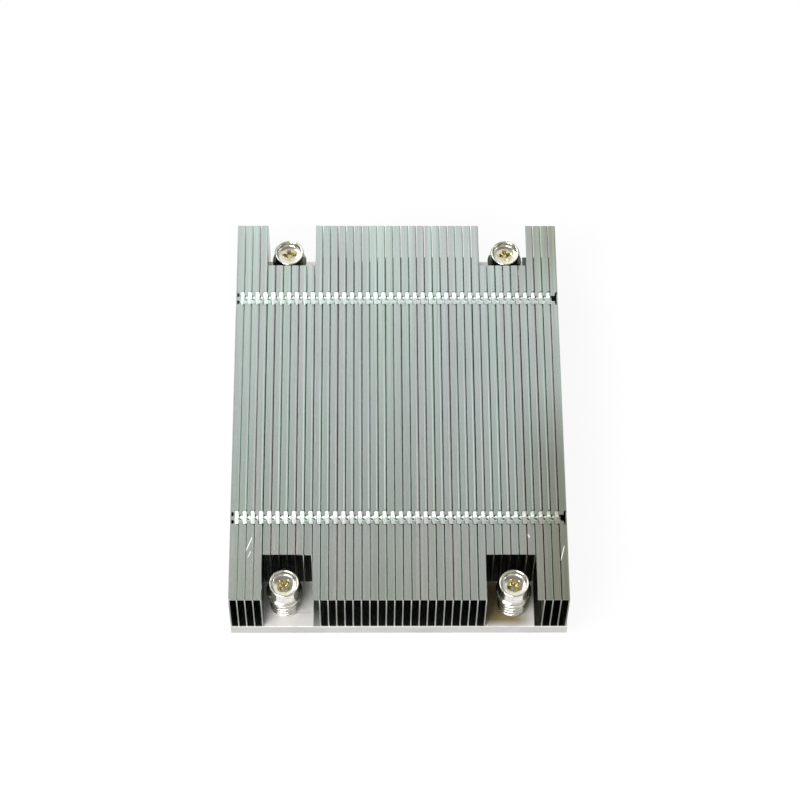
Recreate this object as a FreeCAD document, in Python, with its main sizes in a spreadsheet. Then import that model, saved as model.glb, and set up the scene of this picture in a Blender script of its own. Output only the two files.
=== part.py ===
import FreeCAD, Part
import math
import os

import Sketcher
from FreeCAD import Rotation, Vector

# Passive processor heatsink for the narrow server socket: a stack of folded sheet fins,
# locked to each other in two rows and soldered to a base plate, with four captive screws
# that coil springs hold up and retaining rings keep under the base.
# Frame: origin at the centre of the contact face, X across the fins, +Y to the back, +Z up.

SIZES = {
    # folded fins: web on the right, flange at the top and foot at the bottom, both to the left
    "fin_count": 41,
    "fin_pitch": 2.0,
    "fin_height": 16.0,
    "fin_gap": 0.12,
    "sheet_metal": 0.3,
    "bend_radius": 0.5,
    # lock rows: an opening through the bend takes the next fin's tongue, which hooks down
    "lock_spacing": 62.4,
    "opening_length": 4.0,
    "opening_width": 0.7,
    "opening_depth": 0.9,
    "lock_clearance": 0.08,
    "tongue_drop": 0.3,
    # base plate, a little shorter than the fins at the back, and the flat sheet that closes
    # the left end of the stack
    "base_thickness": 4.0,
    "end_sheet": 0.3,
    "lip_left": 0.1,
    "lip_right": 0.55,
    "back_overhang": 1.15,
    # screws on the socket's pattern, and the notches that the fins leave round them
    "screw_spacing_x": 56.0,
    "screw_spacing_y": 94.0,
    "notch_offset": 1.0,
    "notch_width": 12.0,
    "notch_depth": 6.0,
    "end_margin": 6.0,
    "shank_diameter": 4.6,
    "shank_clearance": 0.08,
    "collar_diameter": 8.8,
    "collar_thickness": 1.1,
    "head_diameter": 7.5,
    "head_height": 3.6,
    "cup_diameter": 6.1,
    "cup_depth": 1.3,
    "cross_length": 4.2,
    "cross_width": 0.9,
    "cross_depth": 1.4,
    "thread_diameter": 4.0,
    "thread_length": 5.0,
    "thread_chamfer": 0.5,
    # springs between the base plate and the screws' collars
    "spring_length": 7.8,
    "spring_diameter": 7.4,
    "spring_wire": 0.85,
    "spring_turns": 4.5,
    "spring_play": 0.02,
    # retaining rings in the screws' grooves, each in a recess of the base plate's underside
    "ring_diameter": 8.0,
    "ring_thickness": 0.7,
    "ring_mouth": 2.6,
    "ring_notch": 1.6,
    "ring_wall": 1.4,
    "groove_diameter": 3.4,
    "groove_play": 0.05,
    "recess_clearance": 0.25,
    "recess_margin": 0.1,
}

doc = FreeCAD.newDocument("Heatsink")
sizes = doc.addObject("Spreadsheet::Sheet", "Sizes")
for row, (alias, value) in enumerate(SIZES.items(), start=1):
    sizes.set(f"A{row}", alias)
    sizes.set(f"B{row}", str(value))
    sizes.setAlias(f"B{row}", alias)
doc.recompute()

STACK_WIDTH = "Sizes.fin_count * Sizes.fin_pitch"
FIN_LENGTH = "(Sizes.screw_spacing_y + 2 * Sizes.end_margin)"
SHORT_LENGTH = "(Sizes.screw_spacing_y - 2 * Sizes.notch_depth)"
COLLAR_BOTTOM = "(Sizes.base_thickness + Sizes.spring_length)"
COLLAR_TOP = f"({COLLAR_BOTTOM} + Sizes.collar_thickness)"
HEAD_TOP = f"({COLLAR_TOP} + Sizes.head_height)"
CUP_FLOOR = f"({HEAD_TOP} - Sizes.cup_depth)"
RING_TOP = "(Sizes.ring_thickness + Sizes.recess_margin)"
GROOVE_TOP = f"({RING_TOP} + Sizes.groove_play)"
GROOVE_BOTTOM = "(Sizes.recess_margin - Sizes.groove_play)"
SCREW_TIP = f"({GROOVE_BOTTOM} - Sizes.thread_length)"
LENGTHS_PER_TURN = 12
CORNERS = {
    "front_left": (-1, -1),
    "front_right": (1, -1),
    "back_left": (-1, 1),
    "back_right": (1, 1),
}


def number(expression):
    return float(sizes.evalExpression(expression))


def new_body(name):
    body = doc.addObject("PartDesign::Body", name)
    body.Label = name
    body.AllowCompound = False
    return body


def new_sketch(body, name, role, offset="0"):
    # a sketch on one of the body's own planes, moved along the plane's normal
    plane = next(item for item in body.Origin.OriginFeatures if item.Role == role)
    sketch = body.newObject("Sketcher::SketchObject", name)
    sketch.AttachmentSupport = (plane, [""])
    sketch.MapMode = "FlatFace"
    sketch.setExpression("AttachmentOffset.Base.z", offset)
    return sketch


def fix(sketch, kind, expression, *places):
    # a dimension of the sketch that follows the sheet
    index = sketch.addConstraint(Sketcher.Constraint(kind, *places, number(expression)))
    sketch.setExpression(f"Constraints[{index}]", expression)


def add_outline(sketch, corners):
    # straight lines through the corners, each corner fixed from the origin
    points = [Vector(number(x), number(y), 0) for x, y in corners]
    first = sketch.GeometryCount
    for point, following in zip(points, points[1:] + points[:1]):
        sketch.addGeometry(Part.LineSegment(point, following), False)
    for index, (x, y) in enumerate(corners):
        line = first + index
        following = first + (index + 1) % len(corners)
        sketch.addConstraint(Sketcher.Constraint("Coincident", line, 2, following, 1))
        fix(sketch, "DistanceX", x, -1, 1, line, 1)
        fix(sketch, "DistanceY", y, -1, 1, line, 1)


def add_rectangle(sketch, left, right, low, high):
    add_outline(sketch, [(left, low), (right, low), (right, high), (left, high)])


def add_circle(sketch, x, y, radius):
    circle = Part.Circle(Vector(number(x), number(y), 0), Vector(0, 0, 1), number(radius))
    index = sketch.addGeometry(circle, False)
    fix(sketch, "DistanceX", x, -1, 1, index, 3)
    fix(sketch, "DistanceY", y, -1, 1, index, 3)
    fix(sketch, "Radius", radius, index)


def extrude(body, kind, sketch, length, reverse=False, symmetric=False):
    feature = body.newObject(f"PartDesign::{kind}", f"{kind}_{sketch.Name}")
    feature.Profile = sketch
    feature.Reversed = reverse
    feature.SideType = "Symmetric" if symmetric else "One side"
    feature.setExpression("Length", length)
    return feature


def add_fold(sketch):
    # the fin's section: an even sheet with two tight folds, round outside and sharp inside
    left = number("Sizes.fin_gap")
    right = number("Sizes.fin_pitch")
    top = number("Sizes.fin_height")
    gauge = number("Sizes.sheet_metal")
    radius = number("Sizes.bend_radius")
    turn = right - radius

    def line(x1, y1, x2, y2):
        sketch.addGeometry(Part.LineSegment(Vector(x1, y1, 0), Vector(x2, y2, 0)), False)

    def bend(height, start, end):
        circle = Part.Circle(Vector(turn, height, 0), Vector(0, 0, 1), radius)
        sketch.addGeometry(Part.ArcOfCircle(circle, start, end), False)

    line(left, top, turn, top)
    bend(top - radius, 0, math.pi / 2)
    line(right, top - radius, right, radius)
    bend(radius, -math.pi / 2, 0)
    line(turn, 0, left, 0)
    line(left, 0, left, gauge)
    line(left, gauge, right - gauge, gauge)
    line(right - gauge, gauge, right - gauge, top - gauge)
    line(right - gauge, top - gauge, left, top - gauge)
    line(left, top - gauge, left, top)

    for places in [(0, 2, 1, 2), (1, 1, 2, 1), (2, 2, 3, 2), (3, 1, 4, 1)]:
        sketch.addConstraint(Sketcher.Constraint("Tangent", *places))
    for line_index in (4, 5, 6, 7, 8):
        sketch.addConstraint(Sketcher.Constraint("Coincident", line_index, 2, line_index + 1, 1))
    sketch.addConstraint(Sketcher.Constraint("Coincident", 9, 2, 0, 1))
    for level in (0, 4, 6, 8):
        sketch.addConstraint(Sketcher.Constraint("Horizontal", level))
    for upright in (2, 5, 7, 9):
        sketch.addConstraint(Sketcher.Constraint("Vertical", upright))
    sketch.addConstraint(Sketcher.Constraint("Equal", 1, 3))
    sketch.addConstraint(Sketcher.Constraint("PointOnObject", 4, 1, -1))
    sketch.addConstraint(Sketcher.Constraint("Vertical", 4, 2, 9, 2))
    fix(sketch, "Radius", "Sizes.bend_radius", 1)
    fix(sketch, "DistanceY", "Sizes.sheet_metal", 9, 1, 9, 2)
    fix(sketch, "DistanceY", "Sizes.sheet_metal", 5, 1, 5, 2)
    fix(sketch, "DistanceX", "Sizes.sheet_metal", 7, 1, 2, 2)
    fix(sketch, "DistanceX", "Sizes.fin_gap", -1, 1, 9, 2)
    fix(sketch, "DistanceX", "Sizes.fin_pitch", -1, 1, 2, 1)
    fix(sketch, "DistanceY", "Sizes.fin_height", -1, 1, 0, 1)


def fin_pattern(name, length, tongue=True):
    # one folded fin with both lock rows; its left edge stands at the start of its pitch
    body = new_body(name)
    section = new_sketch(body, f"{name}_fold", "XZ_Plane")
    add_fold(section)
    extrude(body, "Pad", section, length, symmetric=True)

    row = "Sizes.lock_spacing / 2"
    opening = new_sketch(body, f"{name}_opening", "XY_Plane", "Sizes.fin_height")
    add_rectangle(
        opening,
        "Sizes.fin_pitch - Sizes.opening_width",
        "Sizes.fin_pitch + Sizes.lock_clearance",
        f"{row} - Sizes.opening_length / 2",
        f"{row} + Sizes.opening_length / 2",
    )
    repeated = [extrude(body, "Pocket", opening, "Sizes.opening_depth")]

    if tongue:
        hook = new_sketch(body, f"{name}_tongue", "XZ_Plane", f"-{row}")
        tip = "Sizes.lock_clearance - Sizes.opening_width"
        crest = "Sizes.fin_height"
        add_outline(hook, [
            ("Sizes.fin_gap", crest),
            (tip, f"{crest} - Sizes.tongue_drop"),
            (tip, f"{crest} - Sizes.tongue_drop - Sizes.sheet_metal"),
            ("Sizes.fin_gap", f"{crest} - Sizes.sheet_metal"),
        ])
        width = "Sizes.opening_length - 2 * Sizes.lock_clearance"
        repeated.append(extrude(body, "Pad", hook, width, symmetric=True))

    mirrored = body.newObject("PartDesign::Mirrored", f"{name}_front_row")
    mirrored.Originals = repeated
    plane = next(item for item in body.Origin.OriginFeatures if item.Role == "XZ_Plane")
    mirrored.MirrorPlane = (plane, [""])
    body.Tip = mirrored
    return body


def copy_of(pattern, name, x, y="0", z="0"):
    # a piece made to a pattern, at its own place
    body = new_body(name)
    body.BaseFeature = pattern
    body.setExpression("Placement.Base.x", x)
    body.setExpression("Placement.Base.y", y)
    body.setExpression("Placement.Base.z", z)
    return body


def make_base_plate():
    body = new_body("base_plate")
    outline = new_sketch(body, "base_outline", "XY_Plane")
    add_rectangle(
        outline,
        f"-{STACK_WIDTH} / 2 - Sizes.end_sheet - Sizes.lip_left",
        f"{STACK_WIDTH} / 2 + Sizes.lip_right",
        f"-{FIN_LENGTH} / 2",
        f"{FIN_LENGTH} / 2 - Sizes.back_overhang",
    )
    extrude(body, "Pad", outline, "Sizes.base_thickness")
    bores = {
        "screw_holes": ("Sizes.shank_diameter / 2 + Sizes.shank_clearance", "Sizes.base_thickness"),
        "ring_recesses": ("Sizes.ring_diameter / 2 + Sizes.recess_clearance", RING_TOP),
    }
    for name, (radius, depth) in bores.items():
        circles = new_sketch(body, name, "XY_Plane")
        for side, end in CORNERS.values():
            x = f"{side} * Sizes.screw_spacing_x / 2"
            y = f"{end} * Sizes.screw_spacing_y / 2"
            add_circle(circles, x, y, radius)
        extrude(body, "Pocket", circles, depth, reverse=True)
    return body


def make_end_fin():
    # the flat sheet that closes the stack beside the first fin's open edge
    body = new_body("end_fin")
    outline = new_sketch(body, "end_outline", "XY_Plane", "Sizes.base_thickness")
    add_rectangle(
        outline,
        f"-{STACK_WIDTH} / 2 - Sizes.end_sheet",
        f"-{STACK_WIDTH} / 2",
        f"-{FIN_LENGTH} / 2",
        f"{FIN_LENGTH} / 2",
    )
    extrude(body, "Pad", outline, "Sizes.fin_height")
    return body


def make_fins():
    # a fin is short where its pitch lies in the notch round a pair of screws
    first = fin_pattern("first_fin", FIN_LENGTH, tongue=False)
    long = fin_pattern("long_fin", FIN_LENGTH)
    short = fin_pattern("short_fin", SHORT_LENGTH)
    notch_centre = number("Sizes.screw_spacing_x / 2 - Sizes.notch_offset")
    fins = []
    for index in range(int(number("Sizes.fin_count"))):
        middle = number(f"-{STACK_WIDTH} / 2 + ({index} + 0.5) * Sizes.fin_pitch")
        in_notch = abs(abs(middle) - notch_centre) < number("Sizes.notch_width / 2")
        pattern = short if in_notch else long
        if index == 0:
            pattern = first
        x = f"-{STACK_WIDTH} / 2 + {index} * Sizes.fin_pitch"
        fins.append(copy_of(pattern, f"fin_{index + 1:02d}", x, z="Sizes.base_thickness"))
    return fins


def screw_pattern():
    # collar and cup head above the spring, shank through the base, thread below the groove
    body = new_body("captive_screw")
    half = new_sketch(body, "screw_section", "XZ_Plane")
    shank = "Sizes.shank_diameter / 2"
    groove = "Sizes.groove_diameter / 2"
    collar = "Sizes.collar_diameter / 2"
    head = "Sizes.head_diameter / 2"
    cup = "Sizes.cup_diameter / 2"
    thread = "Sizes.thread_diameter / 2"
    add_outline(half, [
        ("0", SCREW_TIP),
        (f"{thread} - Sizes.thread_chamfer", SCREW_TIP),
        (thread, f"{SCREW_TIP} + Sizes.thread_chamfer"),
        (thread, GROOVE_BOTTOM),
        (groove, GROOVE_BOTTOM),
        (groove, GROOVE_TOP),
        (shank, GROOVE_TOP),
        (shank, COLLAR_BOTTOM),
        (collar, COLLAR_BOTTOM),
        (collar, COLLAR_TOP),
        (head, COLLAR_TOP),
        (head, HEAD_TOP),
        (cup, HEAD_TOP),
        (cup, CUP_FLOOR),
        ("0", CUP_FLOOR),
    ])
    turned = body.newObject("PartDesign::Revolution", "screw_turned")
    turned.Profile = half
    turned.ReferenceAxis = (half, ["V_Axis"])
    turned.Angle = 360
    for name, along, across in (("cross_x", "length", "width"), ("cross_y", "width", "length")):
        slot = new_sketch(body, name, "XY_Plane", CUP_FLOOR)
        half_x = f"Sizes.cross_{along} / 2"
        half_y = f"Sizes.cross_{across} / 2"
        add_rectangle(slot, f"-{half_x}", half_x, f"-{half_y}", half_y)
        extrude(body, "Pocket", slot, "Sizes.cross_depth")
    return body


def spring_solid():
    # a coil of square-set wire from the base plate to just under the collar, in short lengths
    wire = number("Sizes.spring_wire")
    coil_radius = (number("Sizes.spring_diameter") - wire) / 2
    rise = number("Sizes.spring_length - Sizes.spring_wire - Sizes.spring_play")
    start = number("Sizes.base_thickness") + wire / 2
    steps = round(number("Sizes.spring_turns") * LENGTHS_PER_TURN)
    corners = [Vector(wire / 2, 0, 0), Vector(0, 0, wire / 2)]
    corners += [-corner for corner in corners]
    sections = []
    for step in range(steps + 1):
        turn = Rotation(Vector(0, 0, 1), step * 360 / LENGTHS_PER_TURN)
        height = Vector(0, 0, start + rise * step / steps)
        places = [height + turn.multVec(Vector(coil_radius, 0, 0) + corner) for corner in corners]
        sections.append(Part.makePolygon(places + places[:1]))
    return Part.makeLoft(sections, True, True)


def ring_pattern():
    # an open ring whose lobes sit in the groove, flat against the floor of its recess
    body = new_body("open_ring")
    outline = new_sketch(body, "ring_outline", "XY_Plane", RING_TOP)
    bore = "Sizes.groove_diameter / 2 + Sizes.groove_play"
    add_circle(outline, "0", "0", "Sizes.ring_diameter / 2")
    add_circle(outline, "0", "0", bore)
    extrude(body, "Pad", outline, "Sizes.ring_thickness", reverse=True)
    notch = new_sketch(body, "ring_notches", "XY_Plane", RING_TOP)
    notch_end = "Sizes.ring_diameter / 2 - Sizes.ring_wall"
    half_notch = "Sizes.ring_notch / 2"
    add_rectangle(notch, "0", notch_end, f"-{half_notch}", half_notch)
    pocket = extrude(body, "Pocket", notch, "Sizes.ring_thickness")
    pattern = body.newObject("PartDesign::PolarPattern", "ring_lobes")
    pattern.Originals = [pocket]
    pattern.Axis = (notch, ["N_Axis"])
    pattern.Occurrences = 3
    pattern.Angle = 360
    body.Tip = pattern
    mouth = new_sketch(body, "ring_mouth", "XY_Plane", RING_TOP)
    half_mouth = "Sizes.ring_mouth / 2"
    add_rectangle(mouth, "0", "Sizes.ring_diameter", f"-{half_mouth}", half_mouth)
    extrude(body, "Pocket", mouth, "Sizes.ring_thickness")
    return body


def make_fasteners():
    patterns = {"screw": screw_pattern(), "ring": ring_pattern()}
    coil = spring_solid()
    pieces = []
    for corner, (side, end) in CORNERS.items():
        x = f"{side} * Sizes.screw_spacing_x / 2"
        y = f"{end} * Sizes.screw_spacing_y / 2"
        for kind, pattern in patterns.items():
            pieces.append(copy_of(pattern, f"{kind}_{corner}", x, y))
        spring = doc.addObject("Part::Feature", f"spring_{corner}")
        spring.Label = f"spring_{corner}"
        spring.Shape = coil
        spring.setExpression("Placement.Base.x", x)
        spring.setExpression("Placement.Base.y", y)
        pieces.append(spring)
    return pieces


nodes = [make_base_plate(), make_end_fin()] + make_fins() + make_fasteners()
doc.recompute()

for item in doc.Objects:
    if "Invalid" in item.State or "Error" in item.State:
        raise RuntimeError(f"{item.Label} failed: {item.State}")
for node in nodes:
    if node.Shape.isNull() or not node.Shape.isValid():
        raise RuntimeError(f"{node.Label} has no valid shape")
    if len(node.Shape.Solids) != 1:
        raise RuntimeError(f"{node.Label} is not one solid")

os.makedirs("parts", exist_ok=True)
for node in nodes:
    node.Shape.exportStep(f"parts/{node.Label}.step")
print(f"{len(nodes)} sub-parts written")
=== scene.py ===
import math
import random

import bmesh
import bpy
from mathutils import Matrix, Vector


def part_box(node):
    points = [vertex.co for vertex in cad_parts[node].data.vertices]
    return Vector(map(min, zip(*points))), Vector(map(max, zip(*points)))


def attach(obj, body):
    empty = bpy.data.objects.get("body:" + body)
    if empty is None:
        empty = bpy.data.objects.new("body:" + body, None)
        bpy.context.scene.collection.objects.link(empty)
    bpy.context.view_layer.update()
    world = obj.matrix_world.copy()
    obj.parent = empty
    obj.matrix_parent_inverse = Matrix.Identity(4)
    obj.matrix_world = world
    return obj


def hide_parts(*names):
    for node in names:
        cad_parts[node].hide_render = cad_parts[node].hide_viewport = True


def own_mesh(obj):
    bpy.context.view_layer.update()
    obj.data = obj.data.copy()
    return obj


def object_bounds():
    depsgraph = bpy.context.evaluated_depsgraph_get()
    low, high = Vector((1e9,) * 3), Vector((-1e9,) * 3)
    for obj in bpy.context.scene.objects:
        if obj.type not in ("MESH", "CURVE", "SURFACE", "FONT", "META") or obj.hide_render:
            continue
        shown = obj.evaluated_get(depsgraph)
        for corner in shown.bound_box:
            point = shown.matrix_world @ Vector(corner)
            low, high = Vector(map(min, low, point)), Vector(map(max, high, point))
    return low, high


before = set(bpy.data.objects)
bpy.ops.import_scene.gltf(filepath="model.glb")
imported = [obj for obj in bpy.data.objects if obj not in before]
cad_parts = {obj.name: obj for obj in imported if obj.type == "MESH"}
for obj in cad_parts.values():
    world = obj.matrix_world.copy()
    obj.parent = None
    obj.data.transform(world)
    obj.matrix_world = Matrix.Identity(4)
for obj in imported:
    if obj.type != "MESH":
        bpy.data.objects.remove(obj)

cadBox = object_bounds()
mm = 0.001
touch = 0.01  # places closer than this, in millimetres, count as the same
mergeGap = 1e-4  # doubles closer than this are merged
cutGap = 1e-5
square = 0.9  # how much of its normal a face has along an axis when it is square to it
corners = ("front_left", "front_right", "back_left", "back_right")
random.seed(41)


# handling: everything is shaped in millimetres, then brought to its place in metres

def clearSelection():
    if bpy.context.object and bpy.context.object.mode != "OBJECT":
        bpy.ops.object.mode_set(mode="OBJECT")
    bpy.ops.object.select_all(action="DESELECT")


def chosen(piece):
    clearSelection()
    bpy.context.view_layer.objects.active = piece
    piece.select_set(True)


def editing(piece):
    # edit mode with the whole piece picked
    chosen(piece)
    bpy.ops.object.mode_set(mode="EDIT")
    bpy.ops.mesh.select_all(action="SELECT")


def sized(scale=(1, 1, 1)):
    # the primitive that was just added takes its size and keeps its place in its mesh
    piece = bpy.context.object
    piece.scale = scale
    bpy.ops.object.transform_apply(location=True, rotation=True, scale=True)
    return piece


def pick(piece, kind, test):
    # in edit mode, selects the vertices, edges or faces whose middle passes the test
    bpy.ops.mesh.select_mode(type=kind)
    bpy.ops.mesh.select_all(action="DESELECT")
    mesh = bmesh.from_edit_mesh(piece.data)
    items = {"VERT": mesh.verts, "EDGE": mesh.edges, "FACE": mesh.faces}[kind]
    for item in items:
        points = [item.co] if kind == "VERT" else [vertex.co for vertex in item.verts]
        middle = sum(points, Vector()) / len(points)
        if test(item, middle):
            item.select_set(True)
    bmesh.update_edit_mesh(piece.data)


def cutAcross(piece, axis, place, test):
    # a straight cut over the faces that pass the test
    pick(piece, "FACE", test)
    direction = [0, 0, 0]
    direction["xyz".index(axis)] = 1
    bpy.ops.mesh.bisect(
        plane_co=[place * part for part in direction], plane_no=direction, threshold=cutGap)


def pull(move):
    bpy.ops.mesh.extrude_region_move(TRANSFORM_OT_translate={"value": move})


def applied(piece, kind, **settings):
    # a modifier that is applied at once
    chosen(piece)
    modifier = piece.modifiers.new(kind.title(), kind)
    for name, value in settings.items():
        setattr(modifier, name, value)
    bpy.ops.object.modifier_apply(modifier=modifier.name)


def cleaned(piece):
    # doubles merged and faces turned outwards
    editing(piece)
    bpy.ops.mesh.remove_doubles(threshold=mergeGap)
    bpy.ops.mesh.normals_make_consistent(inside=False)
    bpy.ops.object.mode_set(mode="OBJECT")


def eased(piece, width, steps, angle):
    # the edges that are sharper than the angle are broken
    applied(piece, "BEVEL", width=width, segments=steps, limit_method="ANGLE",
            angle_limit=math.radians(angle))


def smoothed(piece, angle):
    chosen(piece)
    bpy.ops.object.shade_smooth_by_angle(angle=math.radians(angle))


def cutBy(piece, cutters):
    for cutter in cutters:
        applied(piece, "BOOLEAN", operation="DIFFERENCE", object=cutter, solver="EXACT")
    removed(*cutters)


def removed(*pieces):
    for piece in pieces:
        mesh = piece.data
        bpy.data.objects.remove(piece)
        bpy.data.meshes.remove(mesh)


def copied(piece, name, place, turn):
    # a copy with its own mesh, turned and moved to its place in metres
    twin = piece.copy()
    twin.data = piece.data.copy()
    twin.name = twin.data.name = name
    bpy.context.scene.collection.objects.link(twin)
    twin.data.transform(
        Matrix.Translation(place) @ Matrix.Rotation(turn, 4, "Z") @ Matrix.Scale(mm, 4))
    return twin


def fitted(piece, node, body, finish):
    # the piece stands for a node, moves with its body and takes its finish
    piece.data.materials.clear()
    piece.data.materials.append(finish)
    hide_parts(node)
    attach(piece, body)


dressing = {
    # width of the broken edges in millimetres, their steps, and the angle that counts as an edge
    "end_fin": 0.04,
    "base_plate": 0.12,
    "ring": 0.05,
    "steps": 2,
    "angle": 40,
    "weld": 2e-6,  # in metres, as the nodes are
}


def dressed(node, finish, edge):
    # a node that keeps its own shape gets its finish and softly broken edges
    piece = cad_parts[node]
    piece.data.materials.clear()
    piece.data.materials.append(finish)
    weld = piece.modifiers.new("Weld", "WELD")
    weld.merge_threshold = dressing["weld"]
    bevel = piece.modifiers.new("Edges", "BEVEL")
    bevel.width = edge * mm
    bevel.segments = dressing["steps"]
    bevel.limit_method = "ANGLE"
    bevel.angle_limit = math.radians(dressing["angle"])


# finishes

class Nodes:
    # wires a node tree; a value is a number, a colour or another node's output

    def __init__(self, tree):
        self.tree = tree

    def give(self, socket, value):
        if isinstance(value, bpy.types.NodeSocket):
            self.tree.links.new(value, socket)
        else:
            socket.default_value = value

    def node(self, kind, inputs=None, **settings):
        item = self.tree.nodes.new(kind)
        for name, value in settings.items():
            setattr(item, name, value)
        for name, value in (inputs or {}).items():
            self.give(item.inputs[name], value)
        return item

    def math(self, kind, first, second=0.0, third=0.0, clamp=False):
        return self.node("ShaderNodeMath", {0: first, 1: second, 2: third},
                         operation=kind, use_clamp=clamp).outputs[0]

    def product(self, first, *others):
        for other in others:
            first = self.math("MULTIPLY", first, other)
        return first

    def away(self, value, place):
        # distance of a coordinate from a place in millimetres
        return self.math("ABSOLUTE", self.math("SUBTRACT", value, place * mm))

    def ranged(self, value, edges, low=0.0, high=1.0, smooth=False):
        # goes from low to high while the value goes from one edge to the other
        inputs = {"Value": value, "From Min": edges[0], "From Max": edges[1],
                  "To Min": low, "To Max": high}
        kind = "SMOOTHSTEP" if smooth else "LINEAR"
        return self.node("ShaderNodeMapRange", inputs, interpolation_type=kind).outputs[0]

    def along(self, value, edges, low=0.0, high=1.0):
        # the same for a coordinate, with the edges in millimetres
        return self.ranged(value, [edge * mm for edge in edges], low, high)

    def mixed(self, share, first, second, blend="MIX"):
        item = self.node("ShaderNodeMix", data_type="RGBA", blend_type=blend)
        self.give(item.inputs[0], share)
        self.give(item.inputs[6], first)
        self.give(item.inputs[7], second)
        return item.outputs[2]


class Finish(Nodes):
    # a metal finish; every pattern lies in object coordinates

    def __init__(self, name):
        self.material = bpy.data.materials.new(name)
        self.material.use_nodes = True
        super().__init__(self.material.node_tree)
        self.shader = self.tree.nodes["Principled BSDF"]
        self.shader.inputs["Metallic"].default_value = 1.0
        self.place = self.node("ShaderNodeTexCoord").outputs["Object"]

    def parts(self):
        return self.node("ShaderNodeSeparateXYZ", {"Vector": self.place}).outputs

    def noise(self, size, detail=2.0, rough=0.5):
        # a pattern with grains of this size, in millimetres along x, y and z
        scale = [1 / (part * mm) for part in size]
        grains = self.node("ShaderNodeMapping", {"Vector": self.place, "Scale": scale})
        inputs = {"Vector": grains.outputs[0], "Scale": 1.0, "Detail": detail,
                  "Roughness": rough}
        return self.node("ShaderNodeTexNoise", inputs).outputs["Fac"]

    def scratch(self, start, end, width, core=0.3):
        # how deep a point lies in a scratch between two places, in millimetres
        low = Vector(start) * mm
        run = Vector(end) * mm - low
        away = self.node("ShaderNodeVectorMath", {0: self.place, 1: low},
                         operation="SUBTRACT").outputs[0]
        along = self.node("ShaderNodeVectorMath", {0: away, 1: run},
                          operation="DOT_PRODUCT").outputs["Value"]
        share = self.math("DIVIDE", along, run.length_squared, clamp=True)
        nearest = self.node("ShaderNodeVectorMath", {0: run, "Scale": share},
                            operation="SCALE").outputs[0]
        gap = self.node("ShaderNodeVectorMath", {0: away, 1: nearest},
                        operation="DISTANCE").outputs["Value"]
        return self.along(gap, (width * core, width), 1.0, 0.0)

    def bumped(self, height, depth, strength):
        bump = self.node("ShaderNodeBump", {"Height": height, "Distance": depth * mm,
                                            "Strength": strength})
        self.give(self.shader.inputs["Normal"], bump.outputs[0])

    def ready(self, color, roughness):
        self.give(self.shader.inputs["Base Color"], color)
        self.give(self.shader.inputs["Roughness"], roughness)
        return self.material


# In each finish, a pattern is its grain size, detail and roughness. A name that ends in Edge
# says where a change begins and ends: in millimetres, or in a pattern's or a normal's value.

finMetal = {
    "clean": (0.68, 0.76, 0.735, 1),
    "dull": (0.575, 0.64, 0.605, 1),
    "dullEdge": (0.65, 1.15),
    # one fin is greener, the next more blue or mauve
    "tints": [(0.965, 1.005, 0.975, 1), (0.98, 1.0, 1.015, 1), (1.035, 0.985, 1.02, 1)],
    "blueEdge": (0.5, 0.85),
    "mauveEdge": (0.9, 1.25),
    "yellowed": (0.97, 0.97, 0.90, 1),  # towards the front
    "yellowedEdge": (0, -50),
    "frontEnd": (1.08, 1.04, 1.05, 1),  # less green in front of the locks
    "frontEndEdge": (-29, -37),
    "rightDarkened": (0.64, 0.62, 0.54, 1),  # darker and browner along the right side, least round one place
    "rightDarkenedEdge": (27, 39),
    "rightLeastAt": 16,
    "rightLeastEdge": (10, 31),
    "rightLeastShare": 0.15,
    "endShade": [(0.78, 0.78, 0.76, 1), (0.42, 0.42, 0.40, 1)],  # painted shade on the sheared ends, darkest at their middle height
    "endShadeFacingEdge": (0.6, 0.9),
    "endShadeMiddle": 11.5,
    "endShadeMiddleEdge": (3.5, 7.5),
    "inside": (0.24, 0.24, 0.23, 1),  # painted shade between the webs
    "insideTopEdge": (19.3, 19.0),
    "insideSideEdge": (40.7, 40.5),
    # but not where the foot lies open to the left front notch: it is matt and catches the light
    "openFoot": -20.3,
    "openFootEdge": (1.1, 0.9),
    "footFacingEdge": (0.6, 0.8),
    "footTopEdge": (6.0, 5.5),
    "footFrontEdge": (-48, -53),
    "footLight": 0.55,
    "scraped": (0.98, 0.98, 0.97, 1),
    # start, end and half width of each scratch
    "scratches": [
        ((-35.9, -36.5, 20), (-37.3, -40.1, 20), 0.16),
        ((-36.1, -40.2, 20), (-36.7, -41.6, 20), 0.12),
        ((40.2, -38.8, 20), (39.3, -42.5, 20), 0.14),
        ((31.4, -35.6, 20), (31.8, -36.3, 20), 0.20),
    ],
    "grain": ((0.22, 14.0, 0.5), 3.0, 0.6),
    "streaks": ((0.75, 60.0, 3.0), 2.0),
    "clouds": ((9.0, 22.0, 9.0), 2.0),
    "hues": ((0.9, 16.0, 4.0), 3.0, 0.6),
    # how much the clouds, the grain and a fin's own draw count beside the streaks and hues
    "cloudShare": 0.5,
    "grainShare": 0.6,
    "ownTone": 0.35,
    "ownHue": 0.8,
    "roughness": (0.17, 0.28),
    "roughEdge": (0.8, 1.5),
    "scratchRoughness": 0.5,
    "footRoughness": 0.55,
    "bump": (0.012, 0.35),
}


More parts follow.
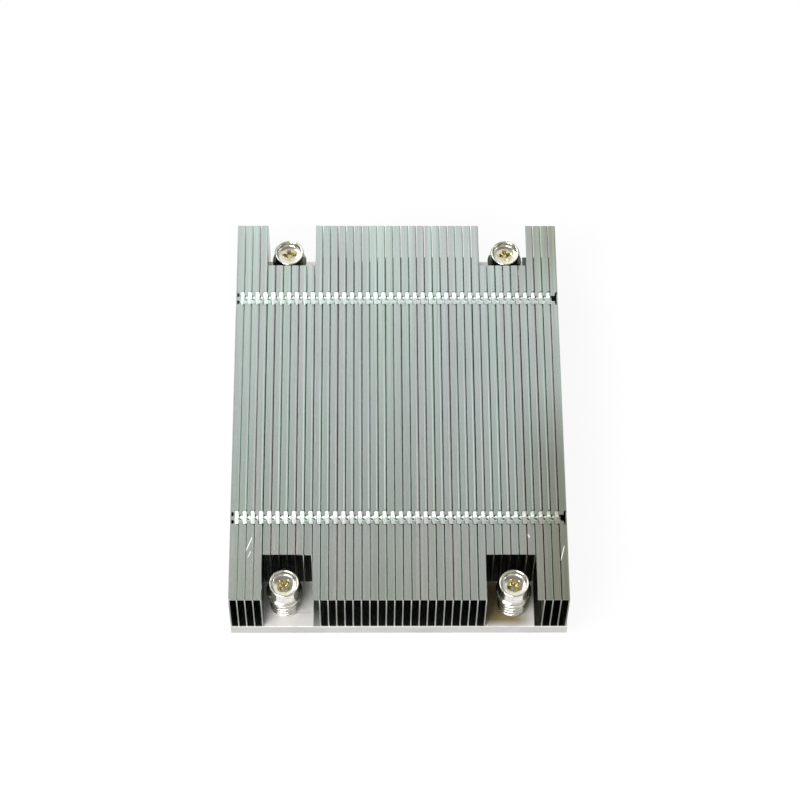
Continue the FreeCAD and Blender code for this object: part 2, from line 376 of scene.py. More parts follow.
def rolledSheet(finish, x, pitch):
    # streaks along the roll, and each fin's own tone and hue
    metal = finMetal
    index = finish.math("FLOOR", finish.math("DIVIDE", x, pitch * mm))
    own = finish.node("ShaderNodeTexWhiteNoise", {"W": index}, noise_dimensions="1D")
    own = own.outputs["Value"]
    tone = finish.math("MULTIPLY_ADD", own, metal["ownTone"], finish.noise(*metal["streaks"]))
    clouds = finish.noise(*metal["clouds"])
    tone = finish.math("MULTIPLY_ADD", clouds, metal["cloudShare"], tone)
    color = finish.mixed(finish.ranged(tone, metal["dullEdge"]), metal["clean"], metal["dull"])
    hue = finish.math("MULTIPLY_ADD", own, metal["ownHue"], finish.noise(*metal["hues"]))
    green, blue, mauve = metal["tints"]
    tint = finish.mixed(finish.ranged(hue, metal["blueEdge"]), green, blue)
    tint = finish.mixed(finish.ranged(hue, metal["mauveEdge"]), tint, mauve)
    return tone, finish.mixed(1.0, color, tint, "MULTIPLY")


def tonedSheet(finish, color, x, y):
    # yellower and then less green towards the front, and darker and browner on the right
    metal = finMetal
    for name in ("yellowed", "frontEnd"):
        share = finish.along(y, metal[name + "Edge"])
        color = finish.mixed(share, color, metal[name], "MULTIPLY")
    fade = finish.along(finish.away(y, metal["rightLeastAt"]), metal["rightLeastEdge"],
                        metal["rightLeastShare"])
    share = finish.product(finish.along(x, metal["rightDarkenedEdge"]), fade)
    return finish.mixed(share, color, metal["rightDarkened"], "MULTIPLY")


def shadedSheet(finish, color, x, y, z):
    # painted shade: the sheared ends are darkened, most at their middle height, and so are the
    # channels between the webs, but not the open foot
    metal = finMetal
    normal = finish.node("ShaderNodeNewGeometry").outputs["True Normal"]
    facing = finish.node("ShaderNodeSeparateXYZ", {"Vector": normal}).outputs
    # painted shade on the sheared ends, darkest at their middle height
    ends = finish.ranged(finish.math("ABSOLUTE", facing["Y"]), metal["endShadeFacingEdge"])
    middle = finish.along(finish.away(z, metal["endShadeMiddle"]), metal["endShadeMiddleEdge"], 1.0, 0.0)
    color = finish.mixed(ends, color, finish.mixed(middle, *metal["endShade"]), "MULTIPLY")
    lit = finish.product(
        finish.along(finish.away(x, metal["openFoot"]), metal["openFootEdge"]),
        finish.ranged(facing["Z"], metal["footFacingEdge"]),
        finish.along(z, metal["footTopEdge"]),
        finish.along(y, metal["footFrontEdge"], 0.0, metal["footLight"]))
    # painted shade in the channels between the webs, kept off the sheared ends and the open foot
    inside = finish.product(
        finish.along(z, metal["insideTopEdge"]),
        finish.along(finish.math("ABSOLUTE", x), metal["insideSideEdge"]),
        finish.math("SUBTRACT", 1.0, ends),
        finish.math("SUBTRACT", 1.0, lit))
    return lit, finish.mixed(inside, color, metal["inside"], "MULTIPLY")


def makeFinMetal(pitch):
    metal = finMetal
    finish = Finish("bright rolled fin sheet")
    x, y, z = finish.parts()
    grain = finish.noise(*metal["grain"])
    tone, color = rolledSheet(finish, x, pitch)
    color = tonedSheet(finish, color, x, y)
    lit, color = shadedSheet(finish, color, x, y, z)
    marks = 0.0
    for start, end, width in metal["scratches"]:
        marks = finish.math("MAXIMUM", marks, finish.scratch(start, end, width))
    color = finish.mixed(marks, color, metal["scraped"])
    rough = finish.math("MULTIPLY_ADD", grain, metal["grainShare"], tone)
    rough = finish.ranged(rough, metal["roughEdge"], *metal["roughness"])
    rough = finish.math("MULTIPLY_ADD", marks, metal["scratchRoughness"], rough)
    rough = finish.math("MULTIPLY_ADD", lit, metal["footRoughness"], rough)
    finish.bumped(finish.math("SUBTRACT", grain, marks), *metal["bump"])
    return finish.ready(color, rough)


baseMetal = {
    "milled": (0.95, 0.94, 0.92, 1),
    "worn": (0.87, 0.86, 0.83, 1),
    "wornEdge": (0.35, 0.7),
    "upright": (0.75, 0.75, 0.75, 1),  # painted shade: the sides are darker than the top
    "uprightEdge": (3.7, 3.4),
    # soldering flux browned the right front corner: from where, and how it thins out again
    "flux": (0.36, 0.29, 0.16, 1),
    "fluxEdge": {"X": (5, 21), "Y": (-30, -44), "Z": (3.7, 4.0)},
    "thinEdge": {"X": (32.5, 29.5), "Y": (-52.7, -51.2)},
    "thinFlux": {"X": 0.1, "Y": 0.35},
    "patchyEdge": (0.3, 0.5),
    "patchyFlux": 0.7,
    "passes": ((5.0, 0.22, 5.0), 2.0, 0.6),
    "clouds": ((7.0, 7.0, 4.0), 3.0),
    "roughness": (0.62, 0.75),
    "roughEdge": (0.3, 0.75),
    "bump": (0.01, 0.4),
}


def makeBaseMetal():
    metal = baseMetal
    finish = Finish("milled base plate")
    place = finish.parts()
    passes = finish.noise(*metal["passes"])
    clouds = finish.noise(*metal["clouds"])
    color = finish.mixed(finish.ranged(clouds, metal["wornEdge"]), metal["milled"], metal["worn"])
    stain = finish.ranged(clouds, metal["patchyEdge"], metal["patchyFlux"])
    for axis, edges in metal["fluxEdge"].items():
        stain = finish.product(stain, finish.along(place[axis], edges))
    for axis, edges in metal["thinEdge"].items():
        stain = finish.product(stain, finish.along(place[axis], edges, metal["thinFlux"][axis]))
    color = finish.mixed(stain, color, metal["flux"])
    # painted shade on the plate's sides, below the top face
    sides = finish.along(place["Z"], metal["uprightEdge"])
    color = finish.mixed(sides, color, metal["upright"], "MULTIPLY")
    finish.bumped(passes, *metal["bump"])
    return finish.ready(color, finish.ranged(passes, metal["roughEdge"], *metal["roughness"]))


screwMetal = {
    "plated": (0.83, 0.82, 0.77, 1),
    "worn": (0.70, 0.67, 0.58, 1),
    "wornEdge": (0.45, 0.75),
    # painted golden reflection and shade deep in the cup's cross recess
    "recess": (0.62, 0.56, 0.30, 1),
    "recessShare": 0.8,
    "recessDepthEdge": (0.3, -0.2),  # above the cup's floor
    "recessReachEdge": (2.6, 2.2),  # from the screw's axis
    "axes": (28, 47),  # the four screws stand this far to both sides along x and y
    "shankShade": (0.05, 0.05, 0.05, 1),  # painted shade on the shank inside the spring
    "shankShadeLowEdge": (1, 2),
    "shankShadeHighEdge": (11.8, 11.5),
    "turning": ((4.0, 4.0, 0.12), 2.0, 0.6),
    "spots": ((0.7, 0.7, 0.7), 3.0, 0.65),
    "roughness": (0.10, 0.24),
    "roughEdge": (0.3, 0.8),
    "bump": (0.01, 0.3),
}


def makeScrewMetal(cupFloor):
    metal = screwMetal
    finish = Finish("plated screw steel")
    x, y, z = finish.parts()
    turning = finish.noise(*metal["turning"])
    spots = finish.noise(*metal["spots"])
    color = finish.mixed(finish.ranged(spots, metal["wornEdge"]), metal["plated"], metal["worn"])
    squares = []
    for value, axis in zip((x, y), metal["axes"]):
        aside = finish.math("SUBTRACT", finish.math("ABSOLUTE", value), axis * mm)
        squares.append(finish.product(aside, aside))
    fromAxis = finish.math("SQRT", finish.math("ADD", *squares))
    # painted golden reflection and shade in the cup's recess
    goldReflection = finish.product(
        finish.along(z, [cupFloor + edge for edge in metal["recessDepthEdge"]]),
        finish.along(fromAxis, metal["recessReachEdge"]), metal["recessShare"])
    color = finish.mixed(goldReflection, color, metal["recess"])
    # painted shade: the shank inside the spring is nearly black
    inSpring = finish.product(finish.along(z, metal["shankShadeLowEdge"]),
                              finish.along(z, metal["shankShadeHighEdge"]))
    color = finish.mixed(inSpring, color, metal["shankShade"])
    finish.bumped(finish.math("ADD", turning, spots), *metal["bump"])
    return finish.ready(color, finish.ranged(spots, metal["roughEdge"], *metal["roughness"]))


springMetal = {
    "drawn": (0.80, 0.785, 0.73, 1),
    "shaded": (0.60, 0.57, 0.47, 1),
    "shadedEdge": (0.4, 0.75),
    "drawing": ((0.5, 0.5, 0.12), 3.0, 0.6),
    "roughness": (0.16, 0.30),
    "roughEdge": (0.3, 0.8),
    "bump": (0.01, 0.3),
}


def makeSpringMetal():
    metal = springMetal
    finish = Finish("drawn spring wire")
    drawing = finish.noise(*metal["drawing"])
    share = finish.ranged(drawing, metal["shadedEdge"])
    color = finish.mixed(share, metal["drawn"], metal["shaded"])
    finish.bumped(drawing, *metal["bump"])
    return finish.ready(color, finish.ranged(drawing, metal["roughEdge"], *metal["roughness"]))


ringMetal = {
    "stamped": (0.56, 0.55, 0.52, 1),
    "dark": (0.38, 0.37, 0.34, 1),
    "grain": ((0.3, 2.0, 0.3), 3.0, 0.6),
    "roughness": (0.25, 0.45),
    "roughEdge": (0.3, 0.7),
    "bump": (0.008, 0.4),
}


def makeRingMetal():
    metal = ringMetal
    finish = Finish("stamped ring steel")
    grain = finish.noise(*metal["grain"])
    color = finish.mixed(grain, metal["stamped"], metal["dark"])
    finish.bumped(grain, *metal["bump"])
    return finish.ready(color, finish.ranged(grain, metal["roughEdge"], *metal["roughness"]))


# folded fins

finShape = {
    "pitch": 2.0,
    "gap": 0.12,
    "height": 16.0,
    "sheet": 0.3,
    "bend": 0.42,
    "bendSteps": 5,
    "edge": (0.03, 1, 50),  # width, steps and least angle of the broken edges
    "smoothAngle": 32,
    "normalWeight": 90,
    "slack": 0.025,  # how far a fin may sit out of line
    "lean": 0.015,  # and out of square, in degrees
    # the pack spreads a little: shift and turn in the middle, and what the sides add
    "spread": (-0.04, 0.24),
    "fan": (0.103, 0.137, 0.02),
    "tight": {1: -0.10, 2: -0.20, 3: -0.26, 4: -0.29, 39: 0.16, 40: 0.14, 41: 0.10},
}

lockShape = {
    "rows": (-31.02, 31.15),
    # the tongue's outline and formed roof: x, then y at its front and back end
    "reach": [(-0.05, -1.52, 1.76), (-0.32, -1.80, 2.02), (-0.85, -1.75, 1.94),
              (-1.1, -1.42, 1.62)],
    "lines": (-0.95, 0.06, 0.42, 0.8, 1.4),  # where the roof's slope changes along y
    "skew": 0.07,
    "skewFrom": -0.6,
    # the root is let down between the second and third line
    "rootReach": 0.95,
    "rootDrop": 0.17,
    "frontFall": (0.09, 0.012),
    "backFall": 0.31,
    "backFade": (1.3, 2.35),
    "crease": (-0.02, -0.66),
    # what is cut out of the sheet, as x, y, half widths, turn and rounding
    "slot": (2.22, 0.07, 1.34, 2.04, 0, 0.7),
    "relief": (0.22, 0.52, 0.17, 0.29, 0, 0.16),
    "slit": (0.38, -0.32, 0.38, 0.13, -38, 0.12),
    "openArch": (2.0, 0.02, 0.82, 2.08, 0, 0.8),
    "openNeck": (1.2, 0.0, 0.88, 0.8, 0, 0.25),
    "backNotch": (0.10, 0.95, 0.62, 0.60, 0, 0.5),
    "frontNotch": (0.30, -1.15, 0.52, 0.52, 0, 0.5),
    "roundSteps": 5,
    "roundMost": 0.98,  # of the half width
    "depth": 0.75,  # of the cuts in the flange, and of those that go through the bend
    "bendDepth": 0.9,
    "throughBend": ("slot", "openArch"),
    "clear": 0.5,  # above the flange
}


def makeSheet(length):
    # flange, web and foot in one strip, then the two folds
    shape = finShape
    pitch, gap, height = shape["pitch"], shape["gap"], shape["height"]
    width = pitch - gap
    clearSelection()
    bpy.ops.mesh.primitive_plane_add(size=1, location=(gap + width / 2, 0, height))
    fin = sized((width, length, 1))
    bpy.ops.object.mode_set(mode="EDIT")
    pick(fin, "EDGE", lambda edge, middle: middle.x > pitch - touch)
    pull((0, 0, -height))
    pull((-width, 0, 0))
    pick(fin, "EDGE", lambda edge, middle: middle.x > pitch - touch and abs(middle.y) < touch)
    bpy.ops.mesh.bevel(offset=shape["bend"], segments=shape["bendSteps"], affect="EDGES")
    return fin


def pullTongue(fin, row):
    # the tongue is drawn out of the flange's open edge
    top, left = finShape["height"], finShape["gap"]
    lines, reaches = lockShape["lines"], lockShape["reach"]
    front, back = reaches[0][1:]

    def onFlange(item, middle):
        return middle.z > top - touch

    for place in (front, *lines, back):
        cutAcross(fin, "y", row + place, onFlange)
    cutAcross(fin, "x", lockShape["rootReach"], lambda face, middle: onFlange(face, middle)
              and lines[1] < middle.y - row < lines[2])
    pick(fin, "EDGE", lambda edge, middle: onFlange(edge, middle)
         and abs(middle.x - left) < touch and front < middle.y - row < back)
    before = left
    for reach in reaches:
        pull((reach[0] - before, 0, 0))
        before = reach[0]


def tongueLevel(x, y):
    # height of the tongue's formed roof against the flange
    lock = lockShape
    low, high = lock["crease"]
    turn = lock["lines"][2]
    front, back = lock["reach"][0][1:]
    if y >= turn - touch:
        crease = low + (high - low) * (y - turn) / (back - turn)
        full, none = lock["backFade"]
        fall = lock["backFall"] * min(1, (none - y) / (none - full))
        return -fall * max(0, crease - x)
    slope, lean = lock["frontFall"]
    return -(finShape["gap"] - x) * (slope + lean * (y - front))


def formTongue(fin, row):
    # the tongue is tapered and skewed, and its roof and root are let down
    lock = lockShape
    top, left = finShape["height"], finShape["gap"]
    first = lock["reach"][0]
    mesh = bmesh.from_edit_mesh(fin.data)
    for vertex in mesh.verts:
        x, y = vertex.co.x, vertex.co.y - row
        onTongue = x < left - touch and first[1] - touch < y < first[2] + touch
        if not onTongue or vertex.co.z < top - touch:
            continue
        front, back = next(ends[1:] for ends in lock["reach"] if abs(ends[0] - x) < touch)
        share = (y - first[1]) / (first[2] - first[1])
        if x < lock["skewFrom"]:
            x -= lock["skew"] * y
        vertex.co = (x, row + front + (back - front) * share, top + tongueLevel(x, y))
    bmesh.update_edit_mesh(fin.data)
    low, high = lock["lines"][1] - touch, lock["lines"][2] + touch
    pick(fin, "VERT", lambda point, middle: middle.z > top - touch
         and abs(middle.x - left) < touch and low < middle.y - row < high)
    bpy.ops.transform.translate(value=(0, 0, -lock["rootDrop"]))


def makeCutter(row, outline, low, high):
    # an upright block with rounded corners
    x, y, halfWidth, halfLength, turn, rounding = outline
    clearSelection()
    bpy.ops.mesh.primitive_cube_add(size=1, location=(0, 0, (low + high) / 2))
    block = sized((halfWidth * 2, halfLength * 2, high - low))
    bpy.ops.object.mode_set(mode="EDIT")
    pick(block, "EDGE", lambda edge, middle: abs(middle.z - (low + high) / 2) < touch)
    rounding = min(rounding, min(halfWidth, halfLength) * lockShape["roundMost"])
    bpy.ops.mesh.bevel(offset=rounding, segments=lockShape["roundSteps"], affect="EDGES")
    bpy.ops.object.mode_set(mode="OBJECT")
    block.data.transform(Matrix.Translation((x, row + y, 0))
                         @ Matrix.Rotation(math.radians(turn), 4, "Z"))
    return block


def cutOut(fin, outlines):
    lock, top = lockShape, finShape["height"]
    cutters = []
    for row in lock["rows"]:
        for name in outlines:
            low = top - lock["bendDepth" if name in lock["throughBend"] else "depth"]
            cutters.append(makeCutter(row, lock[name], low, top + lock["clear"]))
    cutBy(fin, cutters)


def makeFin(length, outlines, tongue=True):
    shape = finShape
    fin = makeSheet(length)
    if tongue:
        for row in lockShape["rows"]:
            pullTongue(fin, row)
            formTongue(fin, row)
    bpy.ops.object.mode_set(mode="OBJECT")
    cleaned(fin)
    flange = max(fin.data.polygons,
                 key=lambda face: face.area * (face.center.z > shape["height"] - touch))
    if flange.normal.z < 0:
        fin.data.flip_normals()
    applied(fin, "SOLIDIFY", thickness=shape["sheet"], offset=-1, use_even_offset=True)
    eased(fin, *shape["edge"])
    cutOut(fin, outlines)
    smoothed(fin, shape["smoothAngle"])
    applied(fin, "WEIGHTED_NORMAL", mode="FACE_AREA", weight=shape["normalWeight"],
            keep_sharp=True)
    return fin


def finPatterns():
    longBox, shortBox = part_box("fin_20"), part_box("fin_05")
    longRun = (longBox[1].y - longBox[0].y) / mm
    shortRun = (shortBox[1].y - shortBox[0].y) / mm
    patterns = {
        "first": makeFin(longRun, ("slot", "backNotch", "frontNotch"), tongue=False),
        "long": makeFin(longRun, ("slot", "relief", "slit")),
        "short": makeFin(shortRun, ("slot", "relief", "slit")),
        "last": makeFin(longRun, ("openArch", "openNeck", "relief", "slit")),
    }
    return patterns, longRun


def makeFins(metal):
    shape = finShape
    patterns, longRun = finPatterns()
    nodes = sorted(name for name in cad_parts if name.startswith("fin_"))
    halfCount = (len(nodes) - 1) / 2
    for number, node in enumerate(nodes, 1):
        low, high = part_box(node)
        kind = "long" if high.y - low.y > (longRun - touch) * mm else "short"
        if node in (nodes[0], nodes[-1]):
            kind = "first" if node == nodes[0] else "last"
        aside = (number - 1) / halfCount - 1  # from -1 on the left to 1 on the right
        middle, sides = shape["spread"]
        shift = shape["tight"].get(number, middle + sides * aside)
        middle, left, right = shape["fan"]
        lean = math.radians(middle + (left if aside < 0 else right) * aside
                            + random.uniform(-shape["lean"], shape["lean"]))
        slack = random.uniform(-shape["slack"], shape["slack"])
        place = Vector((high.x + (shift + slack - shape["pitch"]) * mm,
                        (low.y + high.y) / 2, low.z - abs(slack) * mm / 2))
        fin = copied(patterns[kind], "folded_" + node, place, lean)
        fitted(fin, node, "heatsink", metal)
    removed(*patterns.values())


# captive screws

screwShape = {
    "sides": 48,
    "collar": (4.4, 11.8, 12.4),  # radius, bottom and top
    # radius and height, step by step: from the collar up to the cup's floor and down to the tip
    "above": [(3.82, 12.75), (3.75, 12.95), (3.75, 16.5), (3.12, 16.5), (2.95, 15.35),
              (2.7, 15.2)],
    "below": [(2.3, 11.8), (2.3, 0.85), (1.7, 0.85), (1.7, 0.05), (1.72, 0.05), (1.72, -4.65),
              (1.45, -4.95)],
    # the rings whose edges are rounded, and by what width and steps
    "rim": [(3.75, 16.5), (3.12, 16.5)],
    "rimRound": (0.3, 4),
    "lip": (2.95, 15.35),
    "collarRound": (0.14, 3),
    "crossReach": 2.2,
    "crossWidth": 1.15,
    "crossDepth": 1.4,
    "crossLift": 0.3,
    "crossTaper": (0.42, 0.55, 1),
    # the cone in the middle of the cross
    "coneRadii": (0.35, 1.15),
    "coneHeight": 1.6,
    "coneDrop": 0.55,
    "coneSides": 16,
    "edge": (0.05, 2, 45),
    "smoothAngle": 38,
    "threadOuter": 2.0,
    "threadRoot": 1.66,
    "threadHalf": 0.33,
    "threadPitch": 0.7,
    "threadRun": (-4.55, -0.45),
    "threadSteps": 24,
    "turns": {"front_left": 43, "front_right": 30, "back_left": 5, "back_right": 8},
}


def pullRings(radius, height, rings):
    # the picked round face is pulled to each new width and height in turn
    for newRadius, newHeight in rings:
        pull((0, 0, newHeight - height))
        scale = newRadius / radius
        bpy.ops.transform.resize(value=(scale, scale, 1))
        radius, height = newRadius, newHeight


def roundRings(screw, rings, width, steps):
    # the round edges with these radii and heights are bevelled
    def onRing(edge, middle):
        return any(all(abs(vertex.co.z - height) < touch
                       and abs(vertex.co.xy.length - radius) < touch for vertex in edge.verts)
                   for radius, height in rings)

    pick(screw, "EDGE", onRing)
    bpy.ops.mesh.bevel(offset=width, segments=steps, affect="EDGES")


def makeBody():
    # cup head, collar, shank, groove and tip, pulled out of the collar's two faces
    shape = screwShape
    sides = shape["sides"]
    radius, bottom, top = shape["collar"]
    clearSelection()
    bpy.ops.mesh.primitive_cylinder_add(
        vertices=sides, radius=radius, depth=top - bottom, location=(0, 0, (top + bottom) / 2))
    screw = sized()
    bpy.ops.object.mode_set(mode="EDIT")
    pick(screw, "FACE", lambda face, middle: face.normal.z > square)
    pullRings(radius, top, shape["above"])
    pick(screw, "FACE", lambda face, middle: face.normal.z < -square and len(face.verts) == sides)
    pullRings(radius, bottom, shape["below"])
    roundRings(screw, shape["rim"], *shape["rimRound"])
    roundRings(screw, [(radius, top), (radius, bottom), shape["lip"]], *shape["collarRound"])
    bpy.ops.object.mode_set(mode="OBJECT")
    cleaned(screw)
    return screw


def crossCutters(floor):
    # two tapered arms and a cone between them
    shape = screwShape
    depth, lift = shape["crossDepth"], shape["crossLift"]
    cutters = []
    for turn in (0, 90):
        clearSelection()
        bpy.ops.mesh.primitive_cube_add(size=1, location=(0, 0, floor - depth / 2 + lift))
        arm = sized((shape["crossReach"] * 2, shape["crossWidth"], depth + lift * 2))
        bpy.ops.object.mode_set(mode="EDIT")
        pick(arm, "FACE", lambda face, middle: face.normal.z < -square)
        bpy.ops.transform.resize(value=shape["crossTaper"])
        bpy.ops.object.mode_set(mode="OBJECT")
        arm.data.transform(Matrix.Rotation(math.radians(turn), 4, "Z"))
        cutters.append(arm)
    clearSelection()
    low, high = shape["coneRadii"]
    bpy.ops.mesh.primitive_cone_add(
        vertices=shape["coneSides"], radius1=low, radius2=high, depth=shape["coneHeight"],
        location=(0, 0, floor - shape["coneDrop"]))
    return cutters + [sized()]


def makeThread():
    # one V-shaped ridge wound up the lower shank
    shape = screwShape
    outer, root, half = shape["threadOuter"], shape["threadRoot"], shape["threadHalf"]
    pitch, steps = shape["threadPitch"], shape["threadSteps"]
    low, high = shape["threadRun"]
    clearSelection()
    bpy.ops.mesh.primitive_circle_add(vertices=3, radius=pitch / 2, rotation=(math.pi / 2, 0, 0),
                                      location=(outer - pitch / 2, 0, 0))
    ridge = sized()
    bpy.ops.object.mode_set(mode="EDIT")
    mesh = bmesh.from_edit_mesh(ridge.data)
    for vertex, (x, z) in zip(mesh.verts, [(outer, 0), (root, half), (root, -half)]):
        vertex.co = (x, 0, z)
    bmesh.update_edit_mesh(ridge.data)
    bpy.ops.object.mode_set(mode="OBJECT")
    applied(ridge, "SCREW", axis="Z", screw_offset=pitch, iterations=round((high - low) / pitch),
            steps=steps, render_steps=steps, use_merge_vertices=True)
    editing(ridge)
    bpy.ops.mesh.fill_holes(sides=0)
    bpy.ops.mesh.select_all(action="SELECT")
    bpy.ops.transform.translate(value=(0, 0, low))
    bpy.ops.object.mode_set(mode="OBJECT")
    cleaned(ridge)
    return ridge


def makeScrew():
    shape = screwShape
    screw = makeBody()
    cutBy(screw, crossCutters(shape["above"][-1][1]))
    eased(screw, *shape["edge"])
    ridge = makeThread()
    chosen(screw)
    ridge.select_set(True)
    bpy.ops.object.join()
    smoothed(screw, shape["smoothAngle"])
    return screw


def screwAxis(corner):
    low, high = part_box("screw_" + corner)
    return Vector(((low.x + high.x) / 2, (low.y + high.y) / 2, 0))


def makeScrews(metal):
    pattern = makeScrew()
    for corner in corners:
        screw = copied(pattern, "plated_screw_" + corner, screwAxis(corner),
                       math.radians(screwShape["turns"][corner]))
        fitted(screw, "screw_" + corner, "screw_" + corner, metal)
    removed(pattern)


# springs

springShape = {
    "wire": 0.85,
    "outer": 7.4,
    "closed": 0.3,  # turns that lie against each end
    "endRise": 0.35,  # how far they rise, in wires
    "open": 4.1,
    "stepsPerTurn": 40,
    "roundSteps": 3,
    "edge": (0.06, 2, 60),
    "smoothAngle": 50,
    "turns": {"front_left": 150, "front_right": 160, "back_left": 20, "back_right": 200},
}


def springRise(turn, height):
    # how high the wire has risen after so many turns: slowly at both ends, evenly between
    closed, opened = springShape["closed"], springShape["open"]
    endRise = springShape["wire"] * springShape["endRise"]
    turns = closed * 2 + opened
    if turn < closed:
        return endRise * turn / closed
    if turn > turns - closed:
        return height - endRise * (turns - turn) / closed
    return endRise + (height - 2 * endRise) * (turn - closed) / opened


def makeSpring(low, high):
    # round wire wound in a helix, close at both ends and open between
    shape = springShape
    wire = shape["wire"]
    radius = (shape["outer"] - wire) / 2
    turns = shape["closed"] * 2 + shape["open"]
    count = round(turns * shape["stepsPerTurn"])
    clearSelection()
    bpy.ops.curve.primitive_nurbs_path_add()
    coil = bpy.context.object
    wound = coil.data.splines[0]
    wound.type = "POLY"
    wound.points.add(count + 1 - len(wound.points))
    for index, point in enumerate(wound.points):
        turn = index / count * turns
        angle = turn * 2 * math.pi
        height = low + wire / 2 + springRise(turn, high - low - wire)
        point.co = (radius * math.cos(angle), radius * math.sin(angle), height, 1)
    coil.data.bevel_depth = wire / 2
    coil.data.bevel_resolution = shape["roundSteps"]
    coil.data.use_fill_caps = True
    bpy.ops.object.convert(target="MESH")
    coil = bpy.context.object
    cleaned(coil)
    eased(coil, *shape["edge"])
    smoothed(coil, shape["smoothAngle"])
    return coil


def makeSprings(metal):
    low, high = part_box("spring_front_left")
    pattern = makeSpring(low.z / mm, high.z / mm)
    for corner in corners:
        axis = screwAxis(corner)
        spring = copied(pattern, "wound_spring_" + corner, axis,
                        math.radians(springShape["turns"][corner]))
        fitted(spring, "spring_" + corner, "heatsink", metal)
        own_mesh(spring)
    removed(pattern)


# camera, floor and light

view = {
    "focal": 122.2,
    "sensor": 36.0,
    "clip": (0.01, 20),
    "place": (-0.00784, -0.32078, 0.61878),
    "down": 61.69,
    "turn": 1.47,
    "roll": 1.30,
}


def makeCamera():
    lens = bpy.data.cameras.new("camera")
    lens.lens = view["focal"]
    lens.sensor_width = view["sensor"]
    lens.sensor_fit = "HORIZONTAL"
    lens.clip_start, lens.clip_end = view["clip"]
    camera = bpy.data.objects.new("camera", lens)
    bpy.context.scene.collection.objects.link(camera)
    turned = (Matrix.Rotation(math.radians(-view["turn"]), 4, "Z")
              @ Matrix.Rotation(math.radians(90 - view["down"]), 4, "X")
              @ Matrix.Rotation(math.radians(view["roll"]), 4, "Z"))
    camera.matrix_world = Matrix.Translation(view["place"]) @ turned
    bpy.context.scene.camera = camera


studio = {
    "floorSize": 4.0,
    "floorColor": (0.86, 0.86, 0.86, 1),
    "floorShade": 0.10,  # share of the floor that takes the light and shadow
    # brightness against height over the horizon, as the sine of the angle
    "sky": [(0.0, 1.0), (0.82, 0.93), (0.85, 0.90), (0.875, 0.42), (0.90, 0.25), (0.93, 0.22),
            (1.0, 0.20)],
    "skyTint": (0.985, 0.985),  # red and blue against green
    "topTint": (1.07, 1.03),  # the same where the sky is less than half as bright
    "skyPower": 1.2,
    "rightEdge": (0.20, 0.55),  # the room gets this dark on the right
    "rightLevel": 0.45,
    # its dark end lies in front, turned to the left, and is paler higher up
    "frontEdge": (0.15, -0.40),
    "frontTurn": 0.6,
    "frontLow": (0.085, 0.09, 0.105, 1),
    "frontHigh": (0.50, 0.50, 0.50, 1),
    "frontHeights": (0.3, 0.7),
    # place, size in metres and power in watts
    "lamps": [((-0.80, 0.63, 1.24), 0.74, 3.5), ((-0.30, -0.40, 0.67), 0.42, 6.5)],
}
white = (1, 1, 1, 1)


def makeFloor():
    clearSelection()
    bpy.ops.mesh.primitive_plane_add(size=studio["floorSize"], location=(0, 0, cadBox[0].z))
    floor = sized()
    floor.name = "floor"
    paint = bpy.data.materials.new("white floor")
    paint.use_nodes = True
    paint.node_tree.nodes.clear()
    wiring = Nodes(paint.node_tree)
    path = wiring.node("ShaderNodeLightPath").outputs
    seen = wiring.math("MAXIMUM", path["Is Camera Ray"], path["Is Glossy Ray"])
    seen = wiring.math("MAXIMUM", seen, path["Is Transmission Ray"])
    share = wiring.math("MULTIPLY", seen, 1 - studio["floorShade"])
    matt = wiring.node("ShaderNodeBsdfDiffuse", {"Color": studio["floorColor"]}).outputs[0]
    glow = wiring.node("ShaderNodeEmission", {"Color": white, "Strength": 1.0}).outputs[0]
    shown = wiring.node("ShaderNodeMixShader", {0: share, 1: matt, 2: glow}).outputs[0]
    wiring.node("ShaderNodeOutputMaterial", {"Surface": shown})
    floor.data.materials.append(paint)


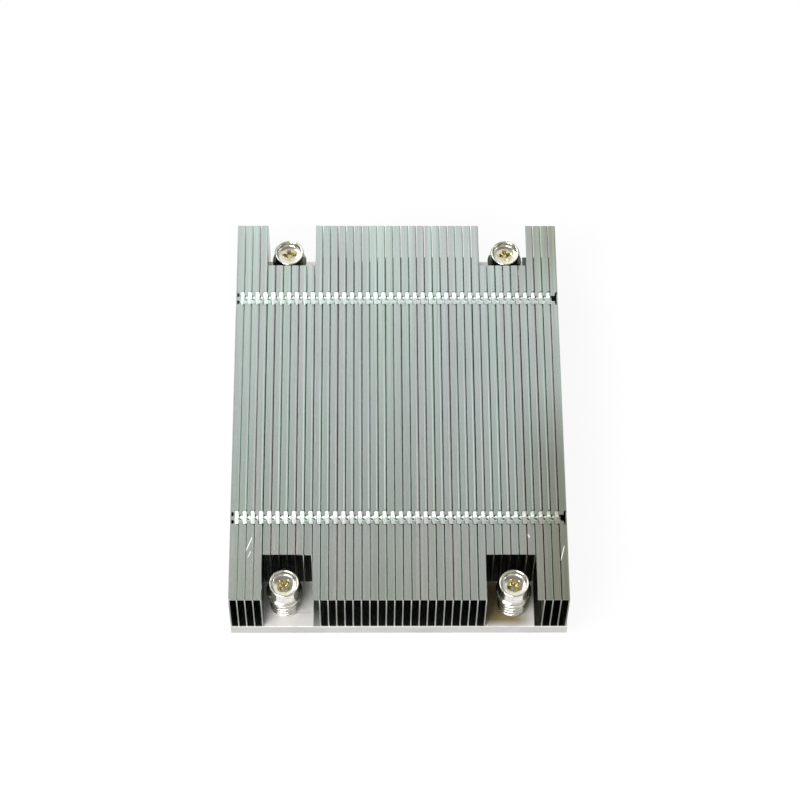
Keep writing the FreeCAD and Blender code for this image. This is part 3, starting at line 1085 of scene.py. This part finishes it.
def makeSky():
    world = bpy.data.worlds.new("soft studio")
    bpy.context.scene.world = world
    world.use_nodes = True
    world.node_tree.nodes.clear()
    wiring = Nodes(world.node_tree)
    place = wiring.node("ShaderNodeTexCoord").outputs["Generated"]
    x, y, z = wiring.node("ShaderNodeSeparateXYZ", {"Vector": place}).outputs
    ramp = wiring.node("ShaderNodeValToRGB", {0: z})
    stops = ramp.color_ramp.elements
    while len(stops) < len(studio["sky"]):
        stops.new(0.5)
    for stop, (height, level) in zip(stops, studio["sky"]):
        stop.position = height
        red, blue = studio["skyTint" if level > 0.5 else "topTint"]
        stop.color = (level * red, level, level * blue, 1)
    right = wiring.ranged(x, studio["rightEdge"], 1.0, studio["rightLevel"], smooth=True)
    sky = wiring.node("ShaderNodeVectorMath", {0: ramp.outputs[0], "Scale": right},
                      operation="SCALE").outputs[0]
    above = wiring.ranged(z, studio["frontHeights"], smooth=True)
    dark = wiring.mixed(above, studio["frontLow"], studio["frontHigh"])
    aside = wiring.math("MULTIPLY_ADD", x, studio["frontTurn"], y)
    front = wiring.ranged(aside, studio["frontEdge"], smooth=True)
    room = wiring.mixed(front, sky, dark)
    light = wiring.node("ShaderNodeBackground",
                        {"Color": room, "Strength": studio["skyPower"]}).outputs[0]
    plain = wiring.node("ShaderNodeBackground", {"Color": white}).outputs[0]
    seen = wiring.node("ShaderNodeLightPath").outputs["Is Camera Ray"]
    shown = wiring.node("ShaderNodeMixShader", {0: seen, 1: light, 2: plain}).outputs[0]
    wiring.node("ShaderNodeOutputWorld", {"Surface": shown})


def makeLamps():
    for place, size, power in studio["lamps"]:
        lamp = bpy.data.lights.new("soft lamp", "AREA")
        lamp.size = size
        lamp.energy = power
        placed = bpy.data.objects.new("soft lamp", lamp)
        bpy.context.scene.collection.objects.link(placed)
        placed.location = place
        placed.rotation_euler = (-Vector(place)).to_track_quat("-Z", "Y").to_euler()


makeCamera()
makeFloor()
makeSky()
makeLamps()
print("camera, floor and light are up")

finFinish = makeFinMetal(finShape["pitch"])
makeFins(finFinish)
dressed("end_fin", finFinish, dressing["end_fin"])
print("fins are folded, locked and in place")

dressed("base_plate", makeBaseMetal(), dressing["base_plate"])
makeScrews(makeScrewMetal(screwShape["above"][-1][1]))
makeSprings(makeSpringMetal())
ringFinish = makeRingMetal()
for corner in corners:
    dressed("ring_" + corner, ringFinish, dressing["ring"])
print("base plate, screws, springs and rings are in place")

bpy.context.scene.view_settings.view_transform = "Standard"
